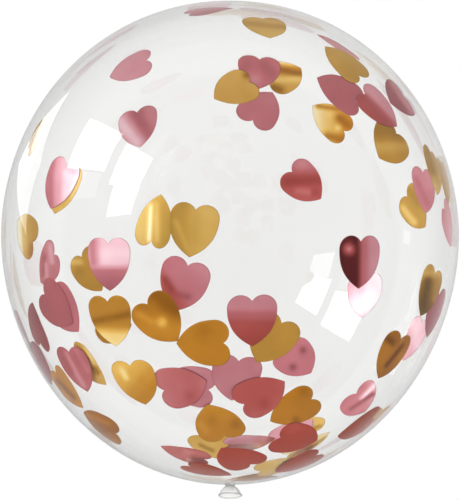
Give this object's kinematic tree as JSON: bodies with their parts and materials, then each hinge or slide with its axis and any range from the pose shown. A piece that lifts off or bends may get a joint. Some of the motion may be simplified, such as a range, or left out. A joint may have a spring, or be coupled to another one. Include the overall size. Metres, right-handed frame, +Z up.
{
  "type": "confetti balloon",
  "caption": "Clear round party balloon with gold and rose-gold foil heart confetti sealed inside, tied off at a small knot with a flared tail, lying on its side.",
  "frame": {"origin": "on the surface the balloon lies on, under its axis and under the middle of its overall length", "axes": "+Y level along the balloon's axis from the flared tail to the crown, +Z up, +X across"},
  "size_m": [0.29, 0.3148, 0.2883],
  "materials": {
    "clear_film": "clear gloss film",
    "gold_foil": "bright gold metallised foil",
    "rose_foil": "bright rose-gold metallised foil"
  },
  "bodies": {
    "root": {"balloon": "clear_film"}
  },
  "joints": []
}
